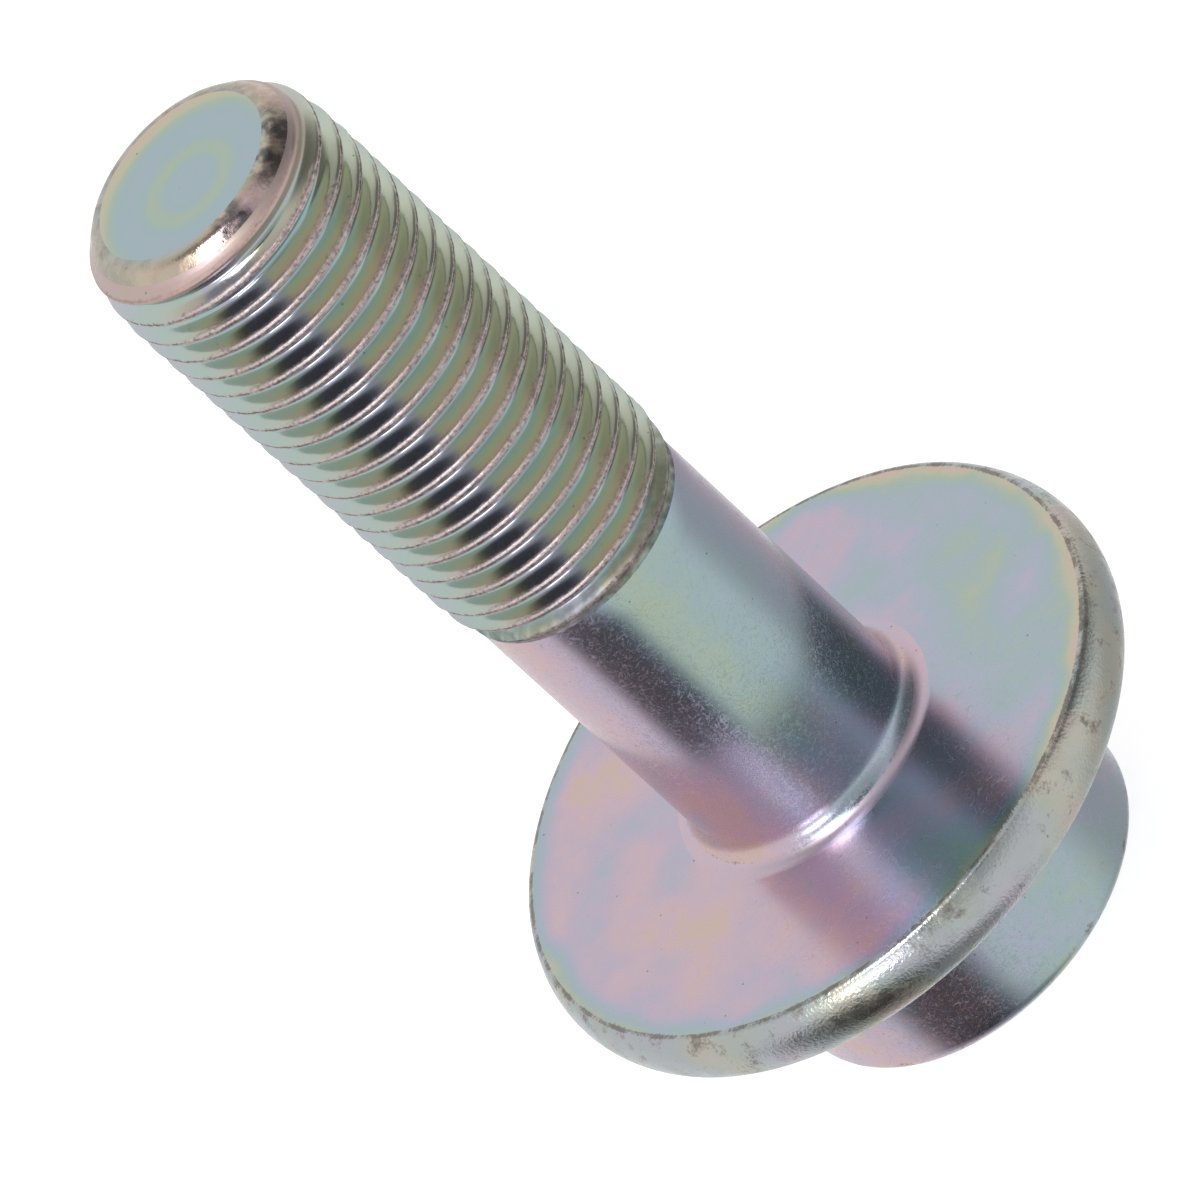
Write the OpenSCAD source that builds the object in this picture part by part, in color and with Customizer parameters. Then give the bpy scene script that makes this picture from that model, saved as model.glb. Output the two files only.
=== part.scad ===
// Camshaft sprocket bolt: a flanged bolt, forged in one piece, with a rolled
// right-hand thread. The origin is the centre of the bearing face under the
// flange. +Z runs along the axis from there to the tip, so the head is below.

/* [Thread] */
// Diameter over the thread's crests
thread_d = 12; // [10:0.1:14]
// Distance from one crest to the next
thread_pitch = 1.25; // [1:0.05:1.75]
// Length of the run-out, where the last turn fades into the plain shank
runout_len = 2.3; // [0.6:0.1:3]
// Share of the run-out, and of the lead, that the groove takes to its full depth
groove_share = 0.45; // [0.3:0.05:1]
// Angle about the axis at which a crest leaves the plain shank
thread_clock = 139; // [0:1:359]

/* [Shank] */
// Length under the head, from the bearing face to the tip
shank_len = 42.8; // [34:0.1:60]
// Length of the plain shank, from the bearing face to the run-out
plain_len = 16.55; // [8:0.05:24]
// Radius of the fillet between the bearing face and the shank
shank_fillet_r = 1.2; // [0.4:0.1:2.4]

/* [Tip] */
// Width of the 45 degree chamfer at the tip
tip_chamfer = 1; // [0.6:0.05:1.6]
// Radius of the blend from that chamfer into the shank
tip_blend_r = 1; // [0.2:0.1:1.6]
// Distance from the middle of the chamfer to where the first turn starts to rise
lead_gap = 0.1; // [0.05:0.05:0.6]
// Length of the lead, over which the first turns grow to full height
lead_len = 3.2; // [1:0.1:5]

/* [Flange] */
// Diameter over the flange's crowned rim
flange_d = 30.5; // [26:0.1:36]
// Thickness of the flange at its rim
flange_t = 3; // [2.6:0.1:5]
// Height of the rim's crown over its two edges
rim_crown = 0.5; // [0.3:0.05:0.8]
// Radius of the rim's two edges
rim_edge_r = 0.4; // [0.1:0.05:0.5]
// Slope of the flange's back, in degrees
flange_slope = 8; // [2:1:16]

/* [Head] */
// Diameter of the round head
head_d = 18; // [15:0.1:20]
// Height of the head with its flange, from the bearing face to its end
head_h = 12; // [10:0.1:16]
// Radius of the edge at the head's end
head_edge_r = 0.9; // [0.3:0.1:1.5]
// Radius of the fillet between the flange's back and the head
head_fillet_r = 0.8; // [0.3:0.1:1.5]

/* [Drive socket] */
// Width across the flats of the hexagon socket
socket_af = 10; // [6:0.5:11]
// Depth of the hexagon socket
socket_depth = 6; // [4:0.1:7]
// Width of the chamfer round the socket's mouth
socket_chamfer = 0.4; // [0.1:0.05:0.8]

/* [Hidden] */

// Facets of round forms in the quick view
$fn = 96;

// A rolled thread is pressed into a blank of its own pitch diameter
crest_r = thread_d / 2;
blank_r = crest_r - 0.3248 * thread_pitch;
root_r = crest_r - 0.6134 * thread_pitch;
tip_r = blank_r - tip_chamfer;

// The shank's core runs inside the thread's skin, up to the cap at the tip
core_gap = 0.2;
core_r = min(root_r, tip_r + tip_chamfer / 2) - core_gap;
cap_h = tip_chamfer / 2;
cap_z = shank_len - cap_h;

// Distance from the tip at which the lead starts, clear of the cap
lead_start = cap_h + lead_gap;

// One pitch of the thread, from the low edge of a crest to the low edge of the
// next: places along the pitch, and heights as shares of the thread's depth.
// The crest is an eighth of the pitch wide and the root is rounded.
form_at = [-0.0625, 0.0625, 0.375, 0.5, 0.625];
form_height = [1, 1, 0.117, 0, 0.117];
form_points = len(form_at);

// The skin starts and ends on a ring just inside the shank and the cap
seat_step = 0.02;
seat_depth = 0.15;
skin_start = plain_len + seat_step;
skin_end = cap_z - seat_step;
skin_turns = (skin_end - skin_start) / thread_pitch;

// Columns round one turn, as many as the budget of facets allows up to 48
facet_budget = 11000;
columns = min(48, floor(facet_budget / (2 * form_points * skin_turns)));
rows = form_points * (ceil(skin_turns) + 2);

// Share, from 0 to 1, of the way that x is between two values
function share(x, low, high) = max(0, min(1, (x - low) / (high - low)));

// Where the blend at the tip starts and ends, as distances from the tip
blend_end = tip_chamfer + tip_blend_r * tan(22.5);
blend_start = blend_end - tip_blend_r * sin(45);

// Radius of the blank at height z: chamfer, blend, then the plain shank
function blank_at(z) =
    let (from_tip = shank_len - z)
    from_tip < blend_start ? tip_r + from_tip
    : from_tip < blend_end
        ? blank_r - tip_blend_r + sqrt(tip_blend_r ^ 2 - (blend_end - from_tip) ^ 2)
        : blank_r;

// How far the thread has grown at height z, from 0 to 1, where its growth takes
// this part of the run-out and of the lead
function grown(z, part) =
    sin(90 * share(z, plain_len, plain_len + part * runout_len))
    * sin(90 * share(shank_len - z, lead_start, lead_start + part * lead_len));

// Radius of the skin at height z, where the thread's form has height h. The dies
// press the groove to its full depth first, and the crest rises after it.
function skin_r(z, h) =
    blank_at(z) - seat_step
    + grown(z, 1) * h * (crest_r - blank_r)
    + grown(z, groove_share) * (1 - h) * (root_r - blank_r);

// Height of a point of the net: each row climbs one pitch in a turn
function net_z(row, column) =
    let (turn = floor(row / form_points) - 1)
    plain_len + thread_pitch
    * (turn + form_at[row % form_points] + column / columns - thread_clock / 360);

// A point at an angle given by its column
function around(column, r, z) =
    [r * cos(360 * column / columns), r * sin(360 * column / columns), z];

// Numbers of the net's points. Past either end they fall on the end rings.
ring_low = rows * columns;
ring_high = ring_low + columns;
seat_low = ring_high + columns;
seat_high = seat_low + columns;
function point_at(row, column) =
    let (wrapped = column % columns,
         climbed = row + (column >= columns ? form_points : 0),
         z = climbed >= rows ? skin_end : net_z(climbed, wrapped))
    z < skin_start + seat_step ? ring_low + wrapped
    : z > skin_end - seat_step ? ring_high + wrapped
    : climbed * columns + wrapped;

// A triangle is kept if its three corners are different points
function whole(t) = t[0] != t[1] && t[1] != t[2] && t[2] != t[0];

// The skin of the thread: a helical net of points, closed at both ends inside
// the plain shank and inside the cap at the tip
module rolled_thread() {
    net = [for (row = [0 : rows - 1], column = [0 : columns - 1])
        let (z = net_z(row, column))
        around(column, skin_r(z, form_height[row % form_points]), z)];
    rings = [for (end = [[skin_r(skin_start, 0), skin_start],
                         [skin_r(skin_end, 0), skin_end],
                         [skin_r(skin_start, 0) - seat_depth, plain_len - seat_depth],
                         [skin_r(skin_end, 0) - 2 * seat_depth, cap_z + seat_depth]])
        for (column = [0 : columns - 1]) around(column, end[0], end[1])];
    net_faces = [for (row = [-form_points : rows - 2], column = [0 : columns - 1])
        let (a = point_at(max(row, 0), column),
             b = point_at(max(row, 0), column + 1),
             c = point_at(max(row + 1, 0), column + 1),
             d = point_at(max(row + 1, 0), column))
        each [[a, c, b], [a, d, c]]];
    seat_faces = [for (column = [0 : columns - 1])
        let (next = (column + 1) % columns)
        each [[seat_low + column, ring_low + next, seat_low + next],
              [seat_low + column, ring_low + column, ring_low + next],
              [ring_high + column, seat_high + next, ring_high + next],
              [ring_high + column, seat_high + column, seat_high + next]]];
    low_end = [for (column = [0 : columns - 1]) seat_low + column];
    high_end = [for (column = [columns - 1 : -1 : 0]) seat_high + column];
    polyhedron(
        points = concat(net, rings),
        faces = concat([for (t = net_faces) if (whole(t)) t], seat_faces, [low_end, high_end]),
        convexity = 10);
}

// Half section of the shank, its core inside the thread, and the cap
module shank_section() {
    polygon([
        [0, -flange_t / 2], [blank_r, -flange_t / 2], [blank_r, plain_len],
        [core_r, plain_len], [core_r, cap_z], [tip_r + cap_h, cap_z],
        [tip_r, shank_len], [0, shank_len]]);
    // Fillet at the bearing face
    difference() {
        translate([0, -flange_t / 2])
            square([blank_r + shank_fillet_r, flange_t / 2 + shank_fillet_r]);
        translate([blank_r + shank_fillet_r, shank_fillet_r])
            circle(r = shank_fillet_r);
    }
}

// The crown is one arc through the rim's two edges
crown_r = ((flange_t / 2) ^ 2 + rim_crown ^ 2) / (2 * rim_crown);
crown_x = flange_d / 2 - crown_r;
// Centre of the arc that rounds an edge, touching the face and the crown
edge_x = crown_x + sqrt((crown_r - rim_edge_r) ^ 2 - (flange_t / 2 - rim_edge_r) ^ 2);
edge_y = flange_t / 2 - rim_edge_r;
edge_angle = atan2(edge_y, edge_x - crown_x);

// What the rounding takes off one edge of the rim, about the flange's middle
module edge_waste() {
    difference() {
        polygon([
            [edge_x, edge_y], [edge_x, flange_t], [flange_d, flange_t],
            [edge_x + flange_t * cos(edge_angle), edge_y + flange_t * sin(edge_angle)]]);
        translate([edge_x, edge_y]) circle(r = rim_edge_r);
    }
}

// Half section of the flange: flat bearing face, crowned rim, sloping back
module flange_section() {
    translate([0, -flange_t / 2]) difference() {
        intersection() {
            translate([0, -flange_t / 2]) square([flange_d, flange_t]);
            union() {
                translate([crown_x, 0]) circle(r = crown_r);
                translate([0, -flange_t / 2]) square([crown_x + crown_r / 2, flange_t]);
            }
        }
        edge_waste();
        mirror([0, 1]) edge_waste();
    }
    polygon([
        [0, -flange_t / 2], [edge_x - rim_edge_r, -flange_t / 2],
        [edge_x, -flange_t], [head_d / 4, back_y(head_d / 4)], [0, back_y(head_d / 4)]]);
}

// Height of the flange's sloping back at radius x
function back_y(x) = -flange_t - (edge_x - x) * tan(flange_slope);

// Centre of the fillet between the flange's back and the head
neck_x = head_d / 2 + head_fillet_r;
neck_y = back_y(neck_x) - head_fillet_r / cos(flange_slope);

// Half section of the round head, with its end edge rounded
module head_section() {
    side = head_d / 2;
    difference() {
        translate([0, -head_h]) square([side, head_h - flange_t / 2]);
        difference() {
            translate([side - head_edge_r, -head_h - head_edge_r])
                square(2 * head_edge_r);
            translate([side - head_edge_r, -head_h + head_edge_r])
                circle(r = head_edge_r);
        }
    }
    // Fillet up to the flange's back
    difference() {
        polygon([
            [side / 2, neck_y], [neck_x, neck_y],
            [neck_x - head_fillet_r * sin(flange_slope), back_y(neck_x)],
            [neck_x, -flange_t], [side / 2, -flange_t]]);
        translate([neck_x, neck_y]) circle(r = head_fillet_r);
    }
}

// Hexagon socket in the head's end, with a chamfered mouth and a drill point
module drive_socket() {
    corner_r = socket_af / 2 / cos(30);
    point_h = socket_af / 2 * tan(30);
    translate([0, 0, -head_h - 1])
        cylinder(r = corner_r, h = socket_depth + 1, $fn = 6);
    translate([0, 0, -head_h + socket_depth])
        cylinder(r1 = socket_af / 2, r2 = 0, h = point_h);
    translate([0, 0, -head_h - socket_chamfer])
        cylinder(r1 = corner_r + 2 * socket_chamfer, r2 = corner_r, h = 2 * socket_chamfer);
}

// The whole bolt, one piece of steel
module bolt() {
    color("#b7b3bb") union() {
        difference() {
            rotate_extrude() {
                shank_section();
                flange_section();
                head_section();
            }
            drive_socket();
        }
        rolled_thread();
    }
}

bolt();
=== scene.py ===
"""Looks of a camshaft sprocket bolt: a flanged bolt with a rolled thread, zinc
plated and passivated, that stands on its head on a pale studio floor."""

import functools
import math

import bmesh
import bpy
from mathutils import Matrix, Vector


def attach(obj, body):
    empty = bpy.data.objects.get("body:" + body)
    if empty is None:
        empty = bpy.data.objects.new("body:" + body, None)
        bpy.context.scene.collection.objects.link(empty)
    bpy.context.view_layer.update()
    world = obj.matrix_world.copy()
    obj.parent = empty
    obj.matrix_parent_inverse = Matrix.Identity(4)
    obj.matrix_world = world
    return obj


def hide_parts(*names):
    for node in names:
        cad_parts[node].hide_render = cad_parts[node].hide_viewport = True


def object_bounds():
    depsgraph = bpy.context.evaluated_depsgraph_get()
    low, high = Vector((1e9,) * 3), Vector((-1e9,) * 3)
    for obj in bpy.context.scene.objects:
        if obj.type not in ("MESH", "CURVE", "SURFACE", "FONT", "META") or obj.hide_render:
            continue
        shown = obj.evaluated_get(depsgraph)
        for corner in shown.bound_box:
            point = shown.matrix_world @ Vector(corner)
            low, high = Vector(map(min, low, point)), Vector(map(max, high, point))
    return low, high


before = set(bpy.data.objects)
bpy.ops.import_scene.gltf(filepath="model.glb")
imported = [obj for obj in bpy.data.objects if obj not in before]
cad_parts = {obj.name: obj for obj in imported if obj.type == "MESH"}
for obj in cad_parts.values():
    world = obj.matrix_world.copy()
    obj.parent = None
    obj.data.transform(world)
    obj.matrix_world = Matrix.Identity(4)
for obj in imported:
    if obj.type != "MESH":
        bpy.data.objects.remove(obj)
cad_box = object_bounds()

MM = 0.001
MICRON = 1e-6
FULL_TURN = 2 * math.pi

# Sizes of the bolt in millimetres, as its solid has them. The origin is the
# centre of the bearing face and +Z runs to the tip. The clock is the angle in
# degrees at which a crest starts, and the groove share is the part of the
# run-out and the lead over which the groove reaches its full depth.
THREAD_D = 12.0
THREAD_PITCH = 1.25
RUNOUT_LEN = 2.3
GROOVE_SHARE = 0.45
THREAD_CLOCK = 139.0
SHANK_LEN = 42.8
PLAIN_LEN = 16.55
SHANK_FILLET_R = 1.2
TIP_CHAMFER = 1.0
TIP_BLEND = 0.54
TIP_EDGE_R = 0.9
LEAD_GAP = 0.1
LEAD_LEN = 3.2
FLANGE_D = 30.5
FLANGE_T = 3.0
RIM_CROWN = 0.5
RIM_EDGE_R = 0.4
FLANGE_SLOPE = math.radians(8)
HEAD_D = 18.0
HEAD_H = 12.0
HEAD_EDGE_R = 0.9
HEAD_FILLET_R = 0.8
SOCKET_AF = 10.0
SOCKET_DEPTH = 6.0
SOCKET_CHAMFER = 0.4
SOCKET_MOUTH_R = SOCKET_AF / 2 / math.cos(math.pi / 6) + SOCKET_CHAMFER

# A rolled thread is pressed into a blank of its own pitch diameter. The pitch
# line and the root lie this many pitches below the crest.
PITCH_LINE_DEPTH = 0.3248
ROOT_DEPTH = 0.6134
CREST_R = THREAD_D / 2
BLANK_R = CREST_R - PITCH_LINE_DEPTH * THREAD_PITCH
ROOT_R = CREST_R - ROOT_DEPTH * THREAD_PITCH
TIP_R = BLANK_R - TIP_CHAMFER
LEAD_START = TIP_CHAMFER / 2 + LEAD_GAP

# Columns of faces round the bolt, a multiple of the socket's six sides, and
# rows of faces in one pitch of the thread
COLUMNS = 156
ROWS_PER_PITCH = 24

# The thread's net ends on the chamfer, this far from the tip. Points closer
# than the welds are joined, first in the net and then in the whole bolt.
NET_END = 0.55
NET_WELD = 0.002
SHELL_WELD = 0.003

# Nicks in the thread's crests: their depth, and how many lie in a metre
NICK_DEPTH = 0.03
NICKS_PER_METRE = 1700.0

# The bearing face is rubbed along its edge, over this width
RUBBED_EDGE_W = 0.24


def paint(code):
    """The linear colour of an sRGB hex code, with full alpha."""
    parts = [int(code[i:i + 2], 16) / 255 for i in (0, 2, 4)]
    linear = [c / 12.92 if c <= 0.04045 else ((c + 0.055) / 1.055) ** 2.4 for c in parts]
    return (*linear, 1.0)


def add_node(tree, kind, links=None, curve=None, stops=None, **settings):
    """Adds one node with its settings. Links give an input's socket or value,
    curve the points of a float curve, and stops the places and hex codes of a
    colour ramp."""
    node = tree.nodes.new(kind)
    for name, value in settings.items():
        setattr(node, name, value)
    for key, value in (links or {}).items():
        if isinstance(value, bpy.types.NodeSocket):
            tree.links.new(value, node.inputs[key])
        else:
            node.inputs[key].default_value = value
    if curve:
        points = node.mapping.curves[0].points
        points[0].location = curve[0]
        points[-1].location = curve[-1]
        for x, y in curve[1:-1]:
            points.new(x, y)
        node.mapping.update()
    if stops:
        ramp = node.color_ramp
        ramp.elements.remove(ramp.elements[-1])
        ramp.elements[0].position = stops[0][0]
        ramp.elements[0].color = paint(stops[0][1])
        for place, code in stops[1:]:
            ramp.elements.new(place).color = paint(code)
    return node


def empty_tree(owner):
    """The node tree of a material or a world, emptied."""
    owner.use_nodes = True
    owner.node_tree.nodes.clear()
    return owner.node_tree


def new_object(name, data):
    """A new object in the scene."""
    made = bpy.data.objects.new(name, data)
    bpy.context.scene.collection.objects.link(made)
    return made


class Nodes:
    """Adds nodes to one tree, for sums on numbers, sockets and vectors."""

    def __init__(self, tree):
        self.add = functools.partial(add_node, tree)

    def calc(self, operation, *values, **settings):
        """One sum on numbers or sockets."""
        links = dict(enumerate(values))
        return self.add("ShaderNodeMath", links, operation=operation, **settings).outputs[0]

    def total(self, *values):
        """Several numbers or sockets added up."""
        return functools.reduce(functools.partial(self.calc, "ADD"), values)

    def product(self, *values):
        """Several numbers or sockets multiplied."""
        return functools.reduce(functools.partial(self.calc, "MULTIPLY"), values)

    def ranged(self, value, low, high, to_low=0.0, to_high=1.0, ease="LINEAR"):
        """A value moved from one range to another and held there."""
        limits = {0: value, 1: low, 2: high, 3: to_low, 4: to_high}
        return self.add("ShaderNodeMapRange", limits, interpolation_type=ease).outputs[0]

    def blended(self, share, below, above):
        """Two values mixed by a share."""
        return self.add("ShaderNodeMix", {0: share, 2: below, 3: above}, data_type="FLOAT").outputs[0]

    def curve(self, value, points):
        """A value drawn against another."""
        return self.add("ShaderNodeFloatCurve", {"Value": value}, curve=points).outputs[0]

    def axes(self, vector):
        """The X, Y and Z of a vector."""
        return self.add("ShaderNodeSeparateXYZ", {0: vector}).outputs

    def scaled(self, vector, factor):
        """A vector made longer or shorter."""
        links = {0: vector, "Scale": factor}
        return self.add("ShaderNodeVectorMath", links, operation="SCALE").outputs[0]

    def moved(self, vector, offset):
        """A place moved by an offset."""
        return self.add("ShaderNodeVectorMath", {0: vector, 1: offset}, operation="ADD").outputs[0]


# Colours of the plating

# Interference colours of the clear passivation on zinc, in order of the film's
# thickness, after which they start again: this gives the eye pale pink, lilac,
# blue, green and yellow patches
FILM_COLOURS = [
    (0.00, "d5b9c1"), (0.16, "c7b6c9"), (0.32, "b0b9cb"), (0.48, "a6bcc0"),
    (0.62, "aec0ae"), (0.76, "c6c4a9"), (0.88, "d5bda7"), (1.00, "d5b9c1"),
]

# The same film on the thread's flanks at the front, from the crest (0) to the
# root (1): pinkish tan, pale olive, green and teal. The eye sees each flank in
# the next one too, so the colours look deeper than they are here.
FLANK_COLOURS = [
    (0.20, "cabab4"), (0.36, "c6bfab"), (0.52, "bec4b0"), (0.68, "b0c4ba"),
    (0.84, "a6c1c4"), (1.00, "97b1b3"),
]

# The film of the thread by the angle round it, in degrees from -Y towards +X
SIDE_COLOURS = [
    (-180, "b9c4b6"), (-88, "bcc1c9"), (-68, "b4c6c0"), (-48, "bcc4bb"), (-31, "b4b6c3"),
    (-10, "b4b6c3"), (0, "b9baaf"), (36, "bcc1ae"), (62, "d0d5be"), (88, "bccac0"),
    (180, "b9c4b6"),
]

# Crests of the thread: rough, with pale pink and grey-brown flecks
CREST_COLOURS = [(0.38, "8f8583"), (0.47, "c0b1af"), (0.58, "cbbcbc"), (0.66, "e1d6d6")]

# Zinc with hardly any film: plain, under pink film and under lilac film, and
# the pale grey of the rim
BARE_ZINC = "b6b3b3"
PINKISH_ZINC = "cfc4ce"
LILAC_ZINC = "c2bcc2"
RIM_ZINC = "bbb8b7"

# Brown-grey where the zinc is rubbed, and dark brown in seams and pits
RUBBED_ZINC = "7d756f"
SEAM_BROWN = "5c504a"

# The chamfer's tan, the grey of the dark reflections painted on it in blotches, and the burr's dull grey
CHAMFER_TAN = "c9afa8"
DARK_REFLECTION_GREY = "54585a"
BURR_GREY = "737a76"

# Heights in millimetres over which the thread's first turns are burred, its
# last turn before the shank turns dull, and its end at the tip turns tan
BURRED = (16.8, 18.4)
DULL_TURN = (17.0, 18.1)
TAN_END = (41.1, 41.7)

# Half the width of a fibre mark, as the height of the noise that draws it
FIBRE_HALF_WIDTH = 0.014


def turn_share(degrees):
    """Share of a turn round the axis for an angle from -Y towards +X."""
    return (degrees + 180) / 360


class Coat(Nodes):
    """The nodes of one plated surface. Places are in millimetres in the bolt's
    own frame, so the patterns stay with the bolt."""

    def __init__(self, name):
        self.material = bpy.data.materials.new(name)
        super().__init__(empty_tree(self.material))
        coord = self.add("ShaderNodeTexCoord").outputs["Object"]
        self.place = self.scaled(coord, 1 / MM)
        # Soft clouds some 3 mm across, and specks of 0.15 mm, which are a
        # little coarser than the real grain, because a pixel can't show that
        self.cloud = self.noise(0.3)
        self.speck = self.noise(6.5, 4.0, 0.65)

    def ramp(self, value, stops):
        """The colour of a value on a row of colours."""
        return self.add("ShaderNodeValToRGB", {"Fac": value}, stops=stops).outputs[0]

    def mixed(self, share, below, above):
        """Two colours mixed by a share."""
        return self.add("ShaderNodeMix", {0: share, 6: below, 7: above}, data_type="RGBA").outputs[2]

    def noise(self, scale, detail=2.0, roughness=0.5, at=None, output="Fac"):
        """Noise on the bolt itself, its scale in features for each millimetre.
        Most of its values lie between 0.3 and 0.7."""
        return self.add("ShaderNodeTexNoise", {
            "Vector": self.place if at is None else at, "Scale": scale, "Detail": detail,
            "Roughness": roughness}).outputs[output]

    def attribute(self, name):
        """A value that the mesh keeps at its points."""
        return self.add("ShaderNodeAttribute", attribute_name=name).outputs["Fac"]

    def along(self, axis):
        """How far along the X, Y or Z axis a place is."""
        return self.axes(self.place)[axis]

    def axis_distance(self, offset=(0.0, 0.0, 0.0)):
        """Distance of a place from the bolt's axis, or from a line beside it."""
        level = self.add("ShaderNodeVectorMath", {0: self.place, 1: (1, 1, 0)}, operation="MULTIPLY")
        moved = self.moved(level.outputs[0], offset)
        return self.add("ShaderNodeVectorMath", {0: moved}, operation="LENGTH").outputs["Value"]

    def around(self):
        """Share of a turn round the axis: 0.5 at -Y, more towards +X."""
        front = self.calc("MULTIPLY", self.along("Y"), -1.0)
        angle = self.calc("ARCTAN2", self.along("X"), front)
        return self.ranged(angle, -math.pi, math.pi)

    def by_angle(self, points):
        """A value drawn against the angle round the axis, its points in degrees."""
        return self.curve(self.around(), [(turn_share(degrees), value) for degrees, value in points])

    def finished(self, colour, rough, relief):
        """The material, one metal shader with this colour, roughness and relief."""
        bump = self.add("ShaderNodeBump", {"Height": relief, "Strength": 1.0, "Distance": 1.0}).outputs[0]
        shader = self.add("ShaderNodeBsdfPrincipled", {
            "Base Color": colour, "Metallic": 1.0, "Roughness": rough, "Normal": bump}).outputs[0]
        self.add("ShaderNodeOutputMaterial", {"Surface": shader})
        return self.material


# Film on each part of the bolt, as places on the row of interference colours

def shank_film(coat):
    """Film on the shank: pink at its left, a lilac stripe, green in front, blue
    and lilac at its right. Near the fillet the sides are pink, the front blue."""
    high = coat.by_angle([
        (-180, 0.5), (-137, 0.62), (-94, 0.0), (-60, 0.02), (-46, 0.16), (-30, 0.22), (-18, 0.3),
        (-9, 0.54), (0, 0.59), (11, 0.54), (29, 0.46), (54, 0.34), (79, 0.2), (130, 0.36), (180, 0.5)])
    low = coat.by_angle([
        (-180, 0.5), (-130, 0.2), (-80, 0.17), (-60, 0.18), (-45, 0.25), (-30, 0.42), (-14, 0.54),
        (0, 0.56), (40, 0.55), (60, 0.4), (80, 0.14), (130, 0.3), (180, 0.5)])
    rise = coat.ranged(coat.along("Z"), 2.0, 8.5, ease="SMOOTHSTEP")
    return coat.blended(rise, coat.calc("SUBTRACT", low, 0.2), high)


def face_film(coat):
    """Film on the bearing face: pink at -X, blue at +X, greener at its edge."""
    drift = coat.curve(coat.ranged(coat.along("X"), -15.0, 15.0), [
        (0.0, 0.16), (0.16, 0.08), (0.33, 0.1), (0.42, 0.16), (0.52, 0.3), (0.62, 0.22),
        (0.72, 0.28), (0.86, 0.42), (1.0, 0.44)])
    patch = coat.ranged(coat.noise(0.16, 1.0), 0.35, 0.65, -0.1, 0.12)
    edge = coat.ranged(coat.axis_distance(), 13.0, 15.2, 0.0, 0.5, ease="SMOOTHERSTEP")
    return coat.total(drift, patch, edge)


def tip_film(coat):
    """Film on the tip's face: faint rings, the outer one peach at the back."""
    share = coat.ranged(coat.axis_distance((0.0, 0.9, 0.0)), 0.0, 5.0)
    return coat.curve(share, [
        (0.0, 0.47), (0.22, 0.46), (0.38, 0.61), (0.52, 0.46), (0.72, 0.45), (0.83, 0.58),
        (0.92, 0.76), (1.0, 0.84)])


def rim_film(coat):
    """Film on the rim: a slow change from lilac over blue and green to peach."""
    return coat.ranged(coat.noise(0.2, 1.0), 0.3, 0.7, 0.2, 0.9)


def fillet_film(coat):
    """Film in the fillet: pink at both sides, lilac in front."""
    return coat.by_angle([
        (-180, 0.3), (-95, 0.06), (-70, 0.08), (-45, 0.12), (0, 0.16), (45, 0.12), (75, 0.02),
        (110, 0.2), (180, 0.3)])


def head_film(coat):
    """Film on the head: pink at its left, lilac in the dark stripe, then aqua."""
    return coat.by_angle([
        (-180, 0.5), (-137, 0.6), (-94, 0.07), (-60, 0.07), (-40, 0.15), (-24, 0.2), (-5, 0.4),
        (10, 0.46), (40, 0.44), (60, 0.34), (80, 0.18), (130, 0.36), (180, 0.5)])


def chamfer_film(coat):
    """Film on the chamfer: green at the left, then peach, and blue at the disc."""
    round_it = coat.by_angle([
        (-180, 0.7), (-70, 0.7), (-45, 0.86), (20, 0.95), (70, 0.8), (180, 0.7)])
    return coat.blended(coat.ranged(coat.axis_distance(), 4.2, 4.7), 0.48, round_it)


def chamfer_dark_reflection(coat):
    """How much dark reflection is painted on the chamfer: in front, where it trims the highlight's edge,
    and at the right.
    """
    return coat.by_angle([
        (-180, 0.4), (-60, 0.2), (-30, 0.0), (-13, 0.0), (-6, 0.85), (6, 0.9), (14, 0.2), (22, 0.25),
        (32, 0.9), (60, 1.0), (76, 0.4), (180, 0.4)])


# Materials

def film_colour(coat, film, clouds, bare):
    """The film's colour, with soft clouds and a finer mottle in its thickness,
    mixed with a share of nearly bare zinc."""
    thickness = coat.total(
        film(coat), coat.ranged(coat.cloud, 0.3, 0.7, -clouds, clouds),
        coat.ranged(coat.noise(0.9, 4.0), 0.35, 0.65, -0.4 * clouds, 0.4 * clouds))
    colour = coat.ramp(coat.calc("FRACT", thickness), FILM_COLOURS)
    bare_colour, bare_share = bare
    shown = coat.ranged(coat.cloud, 0.3, 0.7, 0.7 * bare_share, bare_share)
    return coat.mixed(shown, colour, paint(bare_colour))


def rubbed_specks(coat, worn_share):
    """How far the film is rubbed off, in clumps of specks that are thickest on
    the edges."""
    clump = coat.ranged(coat.noise(1.1), 0.25, 0.75, -0.35, 0.35 + 0.6 * worn_share)
    level = coat.total(
        coat.ranged(coat.speck, 0.25, 0.75, -0.4, 0.4), clump, coat.attribute("edge_wear"))
    return coat.ranged(level, 0.5, 0.95, 0.0, 0.8)


def fibre_marks(coat, scales):
    """Thin curled marks left by tumbling in the plating drum. They are matt, so
    they show as pale strokes wherever the plating is dark. Each runs where a
    noise crosses its middle, and a second noise keeps only lengths of it."""
    bend = coat.noise(1.1, output="Color")
    bent = coat.moved(coat.place, coat.scaled(bend, 0.9))
    marks = 0.0
    for scale in scales:
        drawn = coat.scaled(bent, scale)
        away = coat.calc("ABSOLUTE", coat.calc("SUBTRACT", coat.noise(1.0, 0.0, at=drawn), 0.5))
        stroke = coat.ranged(away, 0.0, FIBRE_HALF_WIDTH * scale, 1.0, 0.0)
        lengths = coat.noise(0.9, 1.0, at=coat.moved(drawn, (7.3, 1.9, 4.1)))
        kept = coat.ranged(lengths, 0.44, 0.62)
        marks = coat.calc("MAXIMUM", marks, coat.product(stroke, kept))
    return marks


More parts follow.
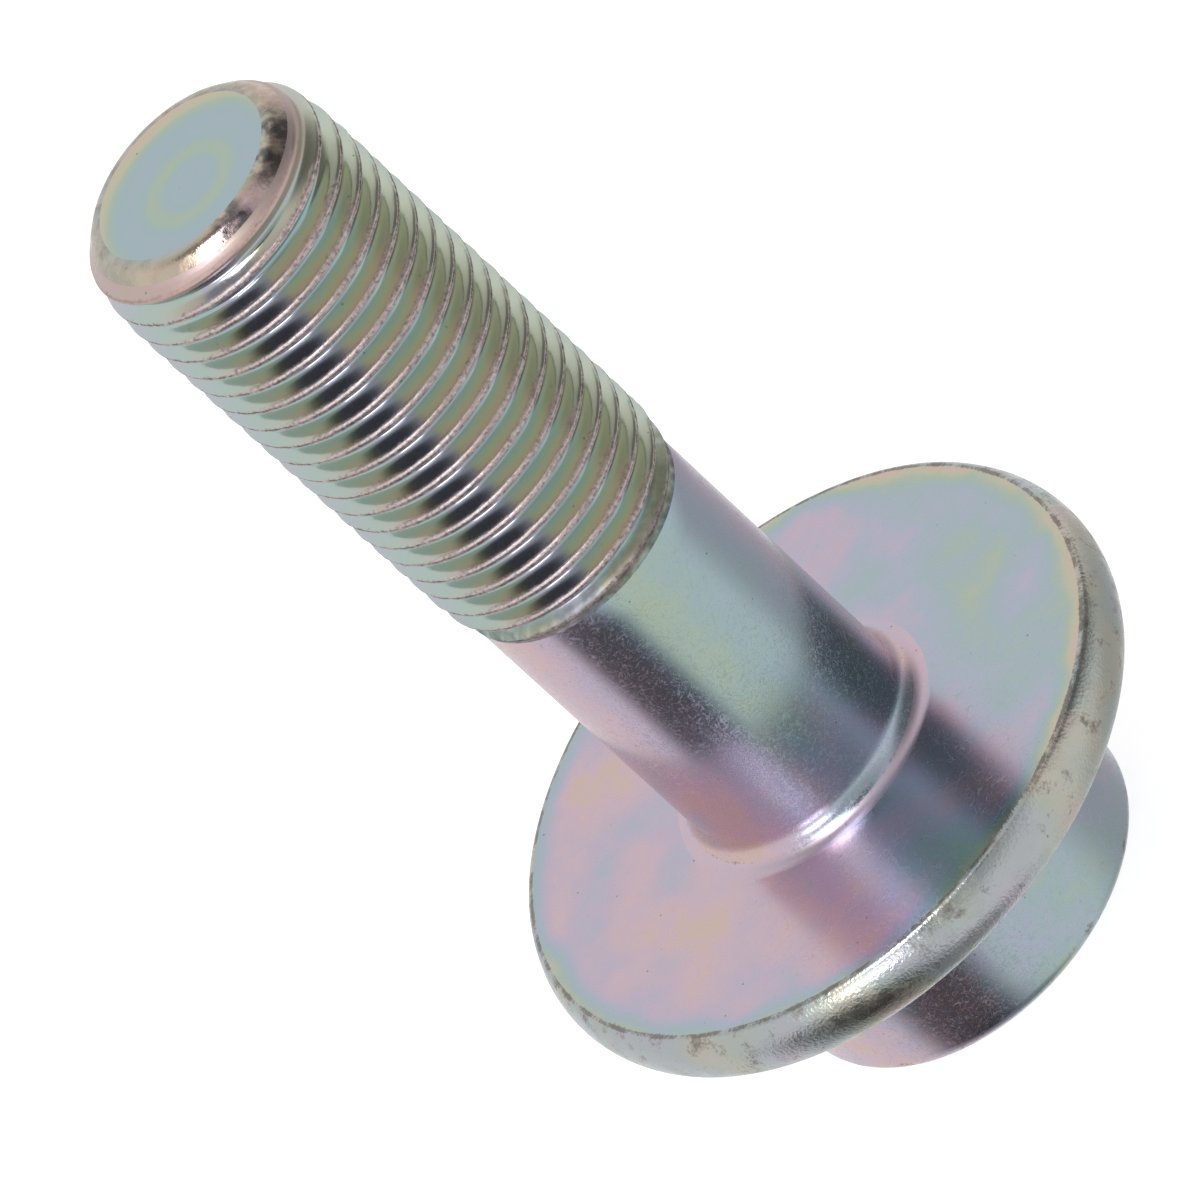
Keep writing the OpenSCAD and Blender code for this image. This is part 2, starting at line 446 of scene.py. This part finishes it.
def thread_flanks_and_crests(coat, colour, rough, relief):
    """Adds the thread's own finish, which changes from flank to flank and round
    the bolt. At the front its crests are broad, rough and pink, at the sides
    thin brown lines, the seam where the steel pressed up by the two dies'
    flanks has met."""
    shown = coat.ranged(coat.attribute("thread_share"), 0.0, 0.3)
    phase = coat.attribute("thread_phase")
    front = coat.by_angle([
        (-180, 0.5), (-90, 0.0), (-60, 0.08), (-47, 0.75), (-38, 0.85), (-31, 0.25), (-20, 0.12),
        (-10, 0.25), (-4, 0.9), (4, 1.0), (30, 1.0), (40, 0.6), (52, 0.05), (90, 0.0), (180, 0.5)])
    side = coat.ramp(coat.around(), [(turn_share(degrees), code) for degrees, code in SIDE_COLOURS])
    drift = coat.total(coat.product(phase, 2.0), coat.ranged(coat.cloud, 0.3, 0.7, -0.08, 0.08))
    flanks = coat.mixed(front, side, coat.ramp(drift, FLANK_COLOURS))
    colour = coat.mixed(shown, colour, flanks)

    # The crests have ragged edges
    broad = coat.by_angle([
        (-180, 0.5), (-90, 0.0), (-64, 0.0), (-46, 0.8), (-36, 1.0), (36, 1.0), (46, 0.5),
        (58, 0.0), (90, 0.0), (180, 0.5)])
    ragged = coat.total(phase, coat.ranged(coat.speck, 0.25, 0.75, -0.03, 0.03),
                        coat.ranged(coat.noise(2.2), 0.3, 0.7, -0.02, 0.02))
    half_width = coat.calc("MULTIPLY_ADD", broad, 0.07, 0.035)
    crest = coat.ranged(ragged, half_width, coat.total(half_width, 0.05), 1.0, 0.0)
    crest = coat.product(crest, shown)
    colour = coat.mixed(coat.product(crest, 0.85), colour, coat.ramp(coat.speck, CREST_COLOURS))
    rough = coat.total(rough, coat.product(crest, 0.3))
    relief = coat.total(relief, coat.product(crest, coat.speck, 14.0 * MICRON))

    seam = coat.product(
        coat.ranged(ragged, 0.018, 0.04, 1.0, 0.0), coat.ranged(coat.noise(1.6), 0.3, 0.5), shown,
        coat.calc("MULTIPLY_ADD", broad, -0.4, 0.85))
    return coat.mixed(seam, colour, paint(SEAM_BROWN)), rough, relief


def thread_ends(coat, colour, rough):
    """Adds the finish of the thread's ends. The first turns from the shank are
    torn and dull, so no bright line runs along them, and the other end is tan
    like the chamfer. Where the groove isn't fully rolled the steel is matt."""
    height = coat.along("Z")
    burr = coat.product(
        coat.ranged(height, *BURRED, 1.0, 0.0), coat.ranged(coat.noise(2.0, 4.0), 0.32, 0.62))
    tip = coat.ranged(height, *TAN_END)
    colour = coat.mixed(coat.product(burr, 0.65), colour, paint(BURR_GREY))
    colour = coat.mixed(coat.product(tip, 0.75), colour, paint(CHAMFER_TAN))
    part_rolled = coat.calc("MULTIPLY_ADD", coat.attribute("thread_share"), -0.3, 0.3)
    matt_end = coat.calc("MAXIMUM", coat.product(tip, 0.24), part_rolled)
    dull_turn = coat.ranged(height, *DULL_TURN, 0.32, 0.0)
    return colour, coat.total(rough, matt_end, coat.product(burr, 0.15), dull_turn)


def pitted(coat, colour):
    """Adds small dark pits, 0.09 mm across and a few millimetres apart."""
    cell = coat.add("ShaderNodeTexVoronoi", {"Vector": coat.place, "Scale": 0.9}).outputs
    dot = coat.ranged(cell["Distance"], 0.03, 0.06, 0.6, 0.0)
    chance = coat.add("ShaderNodeSeparateColor", {0: cell["Color"]}).outputs[0]
    shown = coat.product(dot, coat.calc("GREATER_THAN", chance, 0.5))
    return coat.mixed(shown, colour, paint(SEAM_BROWN))


def plated_steel(name, film, roughness, fibres, grain_um, worn_share, bare, clouds,
                 patchy=0.0, dark_reflection=None, thread=False):
    """Zinc-plated steel with a clear, faintly iridescent passivation.

    Film draws the film's thickness, and clouds is how far it varies round
    that. Fibres are the strength of the fibre marks and how many of them lie
    in a millimetre. The grain's height is in microns. The worn share makes
    the rubbed specks spread from the edges. Bare is the colour of the bare
    zinc and its share. Patchy is how much smoother the smooth patches are,
    and the last function draws where dark reflections are painted on the
    plating in grey blotches."""
    coat = Coat(name)
    fibre_strength, fibre_scales = fibres
    worn = rubbed_specks(coat, worn_share)
    marks = fibre_marks(coat, fibre_scales)
    colour = film_colour(coat, film, clouds, bare)
    rough = coat.total(
        coat.ranged(coat.speck, 0.3, 0.7, roughness - 0.04, roughness + 0.04),
        coat.ranged(coat.noise(0.9, 3.0), 0.46, 0.54, -patchy, 0.0),
        coat.product(worn, 0.18), coat.product(marks, fibre_strength))
    relief = coat.total(
        coat.product(coat.noise(7.0), grain_um * MICRON),
        coat.product(marks, 3.0 * fibre_strength * MICRON))
    if thread:
        colour, rough, relief = thread_flanks_and_crests(coat, colour, rough, relief)
        colour, rough = thread_ends(coat, colour, rough)
    colour = coat.mixed(worn, colour, paint(RUBBED_ZINC))
    # Painted dark reflections: grey blotches mixed into the colour where the given function draws them
    if dark_reflection:
        blotch = coat.ranged(coat.noise(1.1, 4.0, 0.6), 0.4, 0.56)
        shown = coat.product(blotch, dark_reflection(coat), 0.85)
        colour = coat.mixed(shown, colour, paint(DARK_REFLECTION_GREY))
    return coat.finished(pitted(coat, colour), rough, relief)


# Fibre marks of three sizes: short ones on the shank and head, long ones on
# the bearing face, hardly any elsewhere
SHORT_FIBRES = (2.6, 4.1, 6.3)
LONG_FIBRES = (0.5, 0.9, 2.6)

# Surface regions of the bolt, each with its own finish of the same plating
FINISHES = {
    # Smooth flanks that mirror the dark and pale parts of the studio in bands
    "rolled_thread": plated_steel(
        "plated_rolled_thread", shank_film, roughness=0.13, fibres=(0.03, SHORT_FIBRES[:1]),
        grain_um=0.3, worn_share=0.1, bare=(BARE_ZINC, 0.1), clouds=0.08, thread=True),
    # Satin, with pale curled strokes in its dark stripe
    "turned_shank": plated_steel(
        "plated_turned_shank", shank_film, roughness=0.2, fibres=(0.22, SHORT_FIBRES),
        grain_um=0.5, worn_share=0.0, bare=(BARE_ZINC, 0.06), clouds=0.055),
    # Matt, so it shows as one soft pale ring at the foot of the shank
    "bead_fillet": plated_steel(
        "plated_bead_fillet", fillet_film, roughness=0.3, fibres=(0.05, LONG_FIBRES[:1]),
        grain_um=0.5, worn_share=0.0, bare=(PINKISH_ZINC, 0.35), clouds=0.05),
    # Satin, pink drifting to blue, with the shank's dark mirror image in it
    "bearing_face": plated_steel(
        "plated_bearing_face", face_film, roughness=0.2, fibres=(0.12, LONG_FIBRES),
        grain_um=0.3, worn_share=0.05, bare=(LILAC_ZINC, 0.2), clouds=0.1),
    # Grainy pale grey, rubbed brown along its edge and in spots
    "rolled_rim": plated_steel(
        "plated_rolled_rim", rim_film, roughness=0.27, fibres=(0.15, SHORT_FIBRES[:2]),
        grain_um=19.0, worn_share=0.85, bare=(RIM_ZINC, 0.7), clouds=0.1, patchy=0.13),
    # Satin like the shank, with larger clouds of colour
    "forged_head": plated_steel(
        "plated_forged_head", head_film, roughness=0.2, fibres=(0.22, SHORT_FIBRES),
        grain_um=1.0, worn_share=0.2, bare=(BARE_ZINC, 0.15), clouds=0.15),
    # Tan and uneven, with dark reflections painted on it in blotches
    "pressed_chamfer": plated_steel(
        "plated_pressed_chamfer", chamfer_film, roughness=0.28, fibres=(0.1, SHORT_FIBRES[:2]),
        grain_um=8.0, worn_share=0.4, bare=(CHAMFER_TAN, 0.5), clouds=0.1, patchy=0.17,
        dark_reflection=chamfer_dark_reflection),
    # Smooth and pale blue, with faint rings of colour
    "pressed_tip": plated_steel(
        "plated_pressed_tip", tip_film, roughness=0.16, fibres=(0.04, LONG_FIBRES[:1]),
        grain_um=0.3, worn_share=0.0, bare=(BARE_ZINC, 0.08), clouds=0.02),
}
REGIONS = list(FINISHES)


# Thread

def thread_tree(sizes):
    """Geometry nodes for the thread: a net of rows that climb as a helix. The
    tree has one input for each of the sizes."""
    kinds = {float: "NodeSocketFloat", int: "NodeSocketInt", bpy.types.Material: "NodeSocketMaterial"}
    tree = bpy.data.node_groups.new("rolled_thread_net", "GeometryNodeTree")
    for name, value in sizes.items():
        tree.interface.new_socket(name, in_out="INPUT", socket_type=kinds[type(value)])
    tree.interface.new_socket("Geometry", in_out="OUTPUT", socket_type="NodeSocketGeometry")
    nodes = Nodes(tree)
    add, calc, product = nodes.add, nodes.calc, nodes.product
    given = add("NodeGroupInput").outputs

    # A flat grid, one column for each step round the bolt
    length = calc("SUBTRACT", given["Tip height"], given["Start height"])
    turns = calc("ADD", calc("CEIL", calc("DIVIDE", length, given["Pitch"])), 2.0)
    rows = calc("MULTIPLY_ADD", turns, given["Rows per pitch"], 1.0)
    grid = add("GeometryNodeMeshGrid", {
        "Size X": 1.0, "Size Y": 1.0, "Vertices Y": rows,
        "Vertices X": calc("ADD", given["Columns"], 1.0)}).outputs["Mesh"]
    flat = nodes.axes(add("GeometryNodeInputPosition").outputs[0])
    along = calc("ADD", flat["X"], 0.5)
    turn = calc("MULTIPLY_ADD", calc("ADD", flat["Y"], 0.5), turns, -1.0)

    # Height of each point, held between the two end rings
    climb = calc("SUBTRACT", calc("ADD", turn, along), given["Clock share"])
    net_z = calc("MULTIPLY_ADD", climb, given["Pitch"], given["Start height"])
    top = calc("SUBTRACT", given["Tip height"], given["Net end"])
    height = calc("MAXIMUM", calc("MINIMUM", net_z, top), given["Start height"])
    from_tip = calc("SUBTRACT", given["Tip height"], height)

    # Form of the thread across one pitch: crest, flank and rounded root
    phase = calc("PINGPONG", turn, 0.5)
    form = nodes.curve(product(phase, 2.0), [
        (0.0, 1.0), (0.13, 0.998), (0.18, 0.97), (0.23, 0.89), (0.5, 0.45), (0.6, 0.29),
        (0.7, 0.168), (0.8, 0.078), (0.9, 0.02), (1.0, 0.0)])

    # How far the groove and the crest have grown, over the run-out and the lead
    past_start = calc("SUBTRACT", height, given["Start height"])
    past_lead = calc("SUBTRACT", from_tip, given["Lead start"])

    def grown(part):
        """Growth from 0 to 1, where it takes this part of each end's length."""
        ends = [calc("DIVIDE", past, product(given[name], part), use_clamp=True)
                for past, name in ((past_start, "Run-out length"), (past_lead, "Lead length"))]
        return product(*[calc("SINE", product(end, math.pi / 2)) for end in ends])

    crest_growth = grown(1.0)
    groove_growth = grown(given["Groove share"])

    # Radius: the blank with its chamfer, the crest raised and the groove pressed
    chamfered = calc("ADD", calc("SUBTRACT", given["Blank radius"], given["Chamfer"]), from_tip)
    blank = calc("SMOOTH_MIN", given["Blank radius"], chamfered, given["Chamfer blend"])
    raised = product(crest_growth, form,
                     calc("SUBTRACT", given["Crest radius"], given["Blank radius"]))
    pressed = product(groove_growth, calc("SUBTRACT", 1.0, form),
                      calc("SUBTRACT", given["Root radius"], given["Blank radius"]))
    radius = nodes.total(raised, pressed, blank)

    # Place round the axis, and small nicks in the crests
    angle = product(along, FULL_TURN)
    ray = add("ShaderNodeCombineXYZ", {"X": calc("COSINE", angle), "Y": calc("SINE", angle)}).outputs[0]
    up = add("ShaderNodeCombineXYZ", {"Z": height}).outputs[0]
    smooth = nodes.moved(nodes.scaled(ray, radius), up)
    dents = add("ShaderNodeTexNoise", {
        "Vector": smooth, "Scale": NICKS_PER_METRE, "Detail": 2.0}).outputs[0]
    nick = nodes.ranged(dents, 0.5, 0.72)
    on_crest = product(crest_growth, calc("POWER", form, 6.0))
    worn = product(nick, given["Crest wear"], on_crest)
    final = nodes.moved(smooth, nodes.scaled(ray, product(worn, -1.0)))

    # What the materials read of the thread, kept before the points move
    net = grid
    for name, value in (("thread_share", groove_growth), ("thread_phase", phase),
                        ("edge_wear", product(calc("POWER", form, 12.0), 0.2))):
        net = add("GeometryNodeStoreNamedAttribute", {
            "Geometry": net, "Name": name, "Value": value}, data_type="FLOAT").outputs[0]
    net = add("GeometryNodeSetPosition", {"Geometry": net, "Position": final}).outputs[0]
    net = add("GeometryNodeMergeByDistance", {"Geometry": net, "Distance": NET_WELD * MM}).outputs[0]
    net = add("GeometryNodeRealizeInstances", {"Geometry": net}).outputs[0]
    net = add("GeometryNodeSetMaterial", {"Geometry": net, "Material": given["Material"]}).outputs[0]
    add("NodeGroupOutput", {"Geometry": net})
    return tree


def thread_mesh():
    """The thread's net as a plain mesh."""
    sizes = {
        "Crest radius": CREST_R * MM, "Root radius": ROOT_R * MM, "Blank radius": BLANK_R * MM,
        "Pitch": THREAD_PITCH * MM, "Start height": PLAIN_LEN * MM, "Tip height": SHANK_LEN * MM,
        "Net end": NET_END * MM, "Chamfer": TIP_CHAMFER * MM, "Chamfer blend": TIP_BLEND * MM,
        "Run-out length": RUNOUT_LEN * MM, "Lead start": LEAD_START * MM,
        "Lead length": LEAD_LEN * MM, "Groove share": GROOVE_SHARE,
        "Clock share": THREAD_CLOCK / 360, "Crest wear": NICK_DEPTH * MM, "Columns": COLUMNS,
        "Rows per pitch": ROWS_PER_PITCH, "Material": FINISHES["rolled_thread"],
    }
    carrier = new_object("thread_carrier", bpy.data.meshes.new("thread_carrier"))
    modifier = carrier.modifiers.new("thread", "NODES")
    modifier.node_group = thread_tree(sizes)
    for item in modifier.node_group.interface.items_tree:
        if item.in_out == "INPUT":
            modifier[item.identifier] = sizes[item.name]
    ready = carrier.evaluated_get(bpy.context.evaluated_depsgraph_get())
    mesh = bpy.data.meshes.new_from_object(ready)
    bpy.data.objects.remove(carrier)
    return mesh


# Body

def arc(centre, radius, start, end, steps):
    """Points on an arc in a half section, angles in degrees."""
    angles = [math.radians(start + (end - start) * i / steps) for i in range(steps + 1)]
    return [(centre[0] + radius * math.cos(a), centre[1] + radius * math.sin(a)) for a in angles]


def line(start, end, steps):
    """Points between two points in a half section, without the first."""
    return [(start[0] + (end[0] - start[0]) * i / steps, start[1] + (end[1] - start[1]) * i / steps)
            for i in range(1, steps + 1)]


def hexagon(angle):
    """Radius of the socket's hexagon at an angle, with corners on the X axis."""
    side = FULL_TURN / 6
    return SOCKET_AF / 2 / math.cos(angle % side - side / 2)


def socket_mouth(angle):
    """Height at an angle of the arcs in which the mouth's cone meets the hexagon."""
    return -HEAD_H + SOCKET_MOUTH_R - hexagon(angle)


def body_rings():
    """Rings from the run-out down to the socket: region, radius, z, edge wear."""
    half_t = FLANGE_T / 2
    crown_r = (half_t ** 2 + RIM_CROWN ** 2) / (2 * RIM_CROWN)
    crown_x = FLANGE_D / 2 - crown_r
    edge_x = crown_x + math.sqrt((crown_r - RIM_EDGE_R) ** 2 - (half_t - RIM_EDGE_R) ** 2)
    edge_z = half_t - RIM_EDGE_R
    edge_angle = math.degrees(math.atan2(edge_z, edge_x - crown_x))
    rings = []

    def add_rings(region, points, wear=0.0):
        """Adds one ring for each point of a half section."""
        rings.extend((region, r, z, wear) for r, z in points)

    # Shank, fillet and bearing face
    fillet_x = BLANK_R + SHANK_FILLET_R
    add_rings("turned_shank", [(BLANK_R, PLAIN_LEN)], 0.3)
    add_rings("turned_shank", line((BLANK_R, PLAIN_LEN), (BLANK_R, SHANK_FILLET_R), 12))
    fillet = arc((fillet_x, SHANK_FILLET_R), SHANK_FILLET_R, 180, 270, 14)
    add_rings("turned_shank", fillet[1:8])
    add_rings("turned_shank", fillet[8:9], 0.5)
    add_rings("bead_fillet", fillet[9:14])
    add_rings("bearing_face", fillet[14:])
    add_rings("bearing_face", line((fillet_x, 0), (edge_x - RUBBED_EDGE_W, 0), 9))
    add_rings("bearing_face", [(edge_x - RUBBED_EDGE_W / 3, 0)], 0.2)
    add_rings("bearing_face", [(edge_x, 0)], 0.68)

    # Rim, with a rounded edge on each side of its crown
    edge_arc = arc((edge_x, edge_z - half_t), RIM_EDGE_R, 90, edge_angle, 6)
    add_rings("rolled_rim", edge_arc[1:3], 0.55)
    add_rings("rolled_rim", edge_arc[3:], 0.1)
    add_rings("rolled_rim", arc((crown_x, -half_t), crown_r, edge_angle, -edge_angle, 16)[1:])
    add_rings("rolled_rim", arc((edge_x, -edge_z - half_t), RIM_EDGE_R, -edge_angle, -90, 4)[1:], 0.4)

    # Back of the flange and head
    neck_x = HEAD_D / 2 + HEAD_FILLET_R
    slope = math.tan(FLANGE_SLOPE)
    neck_z = -FLANGE_T - (edge_x - neck_x) * slope - HEAD_FILLET_R / math.cos(FLANGE_SLOPE)
    neck = arc((neck_x, neck_z), HEAD_FILLET_R, 90 + math.degrees(FLANGE_SLOPE), 180, 8)
    end_z = -HEAD_H + HEAD_EDGE_R
    end_r = HEAD_D / 2 - HEAD_EDGE_R
    add_rings("forged_head", line((edge_x, -FLANGE_T), neck[0], 6))
    add_rings("forged_head", neck[1:])
    add_rings("forged_head", line(neck[-1], (HEAD_D / 2, end_z), 5))
    add_rings("forged_head", arc((end_r, end_z), HEAD_EDGE_R, 0, -90, 8)[1:], 0.4)
    add_rings("forged_head", line((end_r, -HEAD_H), (SOCKET_MOUTH_R, -HEAD_H), 3), 0.2)

    # Socket, with the cone that the drill left in its floor
    floor_z = -HEAD_H + SOCKET_DEPTH
    cone_r = SOCKET_AF / 2
    cone_h = cone_r * math.tan(math.pi / 6)
    rings.append(("forged_head", hexagon, socket_mouth, 0.2))
    rings.append(("forged_head", hexagon, floor_z - 0.375 * SOCKET_DEPTH, 0.0))
    rings.append(("forged_head", hexagon, floor_z, 0.0))
    add_rings("forged_head", [(cone_r, floor_z)])
    add_rings("forged_head", line((cone_r, floor_z), (0, floor_z + cone_h), 4))
    return rings


def tip_rings():
    """Rings from the end of the thread's net up over the chamfer to the centre."""
    turned_in = TIP_EDGE_R * math.tan(math.radians(22.5))
    chamfer = arc((TIP_R - turned_in, SHANK_LEN - TIP_EDGE_R), TIP_EDGE_R, 45, 90, 8)
    face = line(chamfer[-1], (0, SHANK_LEN), 12)
    start = (TIP_R + NET_END, SHANK_LEN - NET_END)
    rings = [("rolled_thread", start[0], start[1], 0.0)]
    rings += [("pressed_chamfer", r, z, 0.0) for r, z in line(start, chamfer[0], 2)]
    rings += [("pressed_chamfer", r, z, 0.15) for r, z in chamfer[1:]]
    rings += [("pressed_tip", r, z, 0.0) for r, z in face]
    return rings


def add_lathed(shape, rings, wear_layer):
    """Adds rings of points to a mesh, with faces between each ring and the next.
    A ring's radius and height are numbers, or functions of the angle."""
    before = None
    for region, radius, height, wear in rings:
        points = []
        for column in range(COLUMNS):
            angle = FULL_TURN * column / COLUMNS
            r = radius(angle) if callable(radius) else radius
            z = height(angle) if callable(height) else height
            point = shape.verts.new((r * MM * math.cos(angle), r * MM * math.sin(angle), z * MM))
            point[wear_layer] = wear
            points.append(point)
        if before:
            for column in range(COLUMNS):
                after = (column + 1) % COLUMNS
                face = shape.faces.new((before[column], before[after], points[after], points[column]))
                face.material_index = REGIONS.index(region)
        before = points


def sharpen_socket(shape):
    """Makes the edges of the socket and its mouth hard."""
    reach = (SOCKET_MOUTH_R + 0.1) * MM
    hard_angle = math.radians(25)
    for edge in shape.edges:
        middle = (edge.verts[0].co + edge.verts[1].co) / 2
        inside = middle.xy.length < reach and middle.z < -FLANGE_T * MM
        if inside and edge.calc_face_angle(0.0) > hard_angle:
            edge.smooth = False


def make_bolt():
    """The whole bolt as one closed mesh: thread, body and tip."""
    shape = bmesh.new()
    shape.from_mesh(thread_mesh())
    wear_layer = shape.verts.layers.float["edge_wear"]
    for face in shape.faces:
        face.material_index = REGIONS.index("rolled_thread")
    add_lathed(shape, body_rings(), wear_layer)
    add_lathed(shape, tip_rings(), wear_layer)
    bmesh.ops.remove_doubles(shape, verts=shape.verts, dist=SHELL_WELD * MM)
    bmesh.ops.recalc_face_normals(shape, faces=shape.faces)
    for face in shape.faces:
        face.smooth = True
    sharpen_socket(shape)
    mesh = bpy.data.meshes.new("plated_flanged_bolt")
    shape.to_mesh(mesh)
    shape.free()
    for region in REGIONS:
        mesh.materials.append(FINISHES[region])
    return new_object("plated_flanged_bolt", mesh)


bolt = make_bolt()
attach(bolt, "root")
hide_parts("bolt")


# Studio

# Brightness of the white studio, and its dim parts that the plating mirrors:
# direction from the bolt, angles in degrees at which each is full and gone,
# and its brightness
STUDIO_LEVEL = 0.88
DIM_PARTS = [
    ((-0.63, -0.53, -0.57), 13, 31, 0.14),
    ((-0.30, -0.30, -0.90), 10, 34, 0.35),
    ((0.84, 0.05, 0.54), 14, 42, 0.21),
    ((-0.31, 0.02, 0.95), 11, 17, 0.52),
    ((-0.31, 0.02, 0.95), 15, 36, 0.80),
    ((0.12, -0.10, 0.98), 18, 52, 0.85),
    ((0.00, -0.82, 0.57), 12, 42, 0.60),
    ((0.02, -0.55, 0.83), 5, 14, 0.25),
    ((0.77, 0.28, -0.57), 14, 46, 0.60),
]

# The floor's paper, the glow that only the camera sees and that lifts it to
# the backdrop's white, its reach in metres, and a hair's gap below the head,
# so that the two planes don't coincide
PAPER = "c4c4c4"
PAPER_GLOW = 0.80
FLOOR_REACH = 3.0
FLOOR_GAP = 0.02

# Distance of the softboxes from the bolt, in metres
SOFTBOX_DISTANCE = 0.6


def make_world():
    """A white studio with a few dim parts, plain white to the camera."""
    world = bpy.data.worlds.new("white_studio")
    bpy.context.scene.world = world
    nodes = Nodes(empty_tree(world))
    ray = nodes.add("ShaderNodeTexCoord").outputs["Generated"]
    level = STUDIO_LEVEL
    for direction, full, gone, brightness in DIM_PARTS:
        aim = Vector(direction).normalized()
        facing = nodes.add("ShaderNodeVectorMath", {0: ray, 1: aim}, operation="DOT_PRODUCT")
        dimmed = nodes.ranged(
            facing.outputs["Value"], math.cos(math.radians(gone)), math.cos(math.radians(full)),
            1.0, brightness, ease="SMOOTHSTEP")
        level = nodes.product(level, dimmed)
    seen = nodes.add("ShaderNodeLightPath").outputs["Is Camera Ray"]
    strength = nodes.blended(seen, level, 1.0)
    light = nodes.add("ShaderNodeBackground", {"Color": paint("ffffff"), "Strength": strength})
    nodes.add("ShaderNodeOutputWorld", {"Surface": light.outputs[0]})


def make_floor():
    """A pale matt paper floor that keeps a soft shadow."""
    material = bpy.data.materials.new("matt_white_paper")
    nodes = Nodes(empty_tree(material))
    paper = nodes.add("ShaderNodeBsdfDiffuse", {"Color": paint(PAPER)}).outputs[0]
    seen = nodes.add("ShaderNodeLightPath").outputs["Is Camera Ray"]
    glow = nodes.add("ShaderNodeEmission", {"Strength": nodes.product(seen, PAPER_GLOW)}).outputs[0]
    both = nodes.add("ShaderNodeAddShader", {0: paper, 1: glow}).outputs[0]
    nodes.add("ShaderNodeOutputMaterial", {"Surface": both})
    depth = cad_box[0].z - FLOOR_GAP * MM
    corners = [(x * FLOOR_REACH, y * FLOOR_REACH, depth) for x, y in ((-1, -1), (1, -1), (1, 1), (-1, 1))]
    mesh = bpy.data.meshes.new("studio_floor")
    mesh.from_pydata(corners, [], [(0, 1, 2, 3)])
    mesh.materials.append(material)
    floor = new_object("studio_floor", mesh)
    floor.visible_glossy = False


def make_softbox(name, direction, width, height, watts):
    """A softbox that faces the bolt, unseen by the camera."""
    aim = Vector(direction).normalized()
    lamp = bpy.data.lights.new(name, "AREA")
    lamp.shape = "RECTANGLE"
    lamp.size = width
    lamp.size_y = height
    lamp.energy = watts
    turned = aim.to_track_quat("Z", "Y").to_matrix().to_4x4()
    box = new_object(name, lamp)
    box.matrix_world = Matrix.Translation(aim * SOFTBOX_DISTANCE) @ turned
    box.visible_camera = False


def make_camera():
    """The camera that was fitted to the photograph's outlines: a long lens with
    a roll, its place in millimetres and its three axes."""
    place = Vector((0.0, -463.23, 337.74))
    right = Vector((0.67683564, -0.42138034, -0.60359931))
    up = Vector((0.73613113, 0.38979191, 0.55332922))
    back = Vector((0.00211607, -0.81884118, 0.57401624))
    lens = bpy.data.cameras.new("long_lens")
    lens.lens = 402.39
    lens.sensor_width = 36.0
    lens.clip_start = 0.01
    turned = Matrix((right, up, back)).transposed().to_4x4()
    camera = new_object("camera", lens)
    camera.matrix_world = Matrix.Translation(place * MM) @ turned
    bpy.context.scene.camera = camera


make_world()
make_floor()
make_softbox("high_softbox", (-0.33, -0.41, 0.85), 0.19, 0.31, 1.0)
make_softbox("low_softbox", (-0.58, -0.77, 0.28), 0.24, 0.17, 0.45)
make_camera()
bpy.context.scene.view_settings.view_transform = "Standard"
